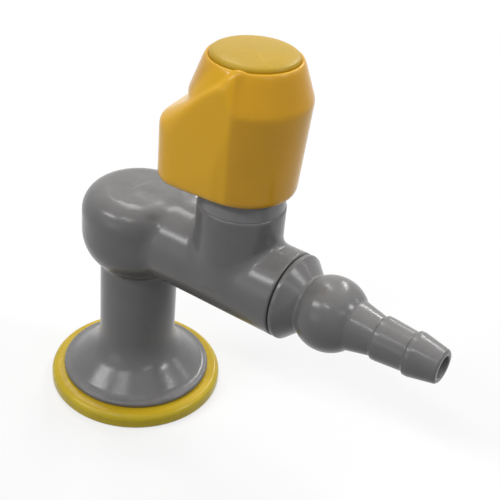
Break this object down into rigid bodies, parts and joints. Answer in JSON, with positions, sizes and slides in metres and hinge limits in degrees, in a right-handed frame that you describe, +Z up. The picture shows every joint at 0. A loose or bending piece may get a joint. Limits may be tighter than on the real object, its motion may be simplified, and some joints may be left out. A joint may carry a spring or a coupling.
{
  "type": "laboratory gas tap",
  "caption": "Single bench gas tap: column with a side arm, barbed hose nozzle, ball valve and a push-and-turn knob with a beak pointer.",
  "frame": {"origin": "centre of the underside on the column axis, where the inlet thread begins", "axes": "+Z up along the column, +X along the arm towards the hose nozzle"},
  "size_m": [0.1367, 0.0576, 0.1319],
  "materials": {
    "coated_casting": "satin grey powder coat",
    "ring_yellow": "moulded, satin gloss",
    "knob_yellow": "moulded, satin gloss",
    "brass": "machined",
    "plated_ball": "polished plate",
    "steel": "bright zinc",
    "ptfe": "matt white",
    "rubber": "matt black"
  },
  "bodies": {
    "root": {"body": "coated_casting", "colour_ring": "ring_yellow", "base_gasket": "rubber", "nozzle": "coated_casting", "nozzle_seal": "rubber", "seat_retainer": "brass", "seat_inner": "ptfe", "seat_outer": "ptfe", "thrust_washer": "ptfe", "gland_washer": "ptfe", "bonnet": "coated_casting", "bonnet_seal": "rubber"},
    "turning": {"stem": "brass", "ball": "plated_ball", "stem_seals": "rubber", "stem_clip": "steel", "spring_seat": "steel", "stop_washer": "steel", "handle_screw": "steel"},
    "pressing": {"handle": "knob_yellow", "handle_insert": "brass", "stop_pin": "steel", "index_cap": "knob_yellow", "return_spring": "steel"}
  },
  "joints": [
    {"name": "handle_turn", "type": "hinge", "parent": "root", "child": "turning", "pos_m": [0.038, 0, 0.0932], "axis": [0, 0, 1], "range_deg": [-28, 62]},
    {"name": "handle_press", "type": "slide", "parent": "turning", "child": "pressing", "axis": [0, 0, -1], "range_m": [0, 0.003], "stiffness_N_per_m": 2000, "springref_m": -0.002, "deforming": ["return_spring"]}
  ]
}
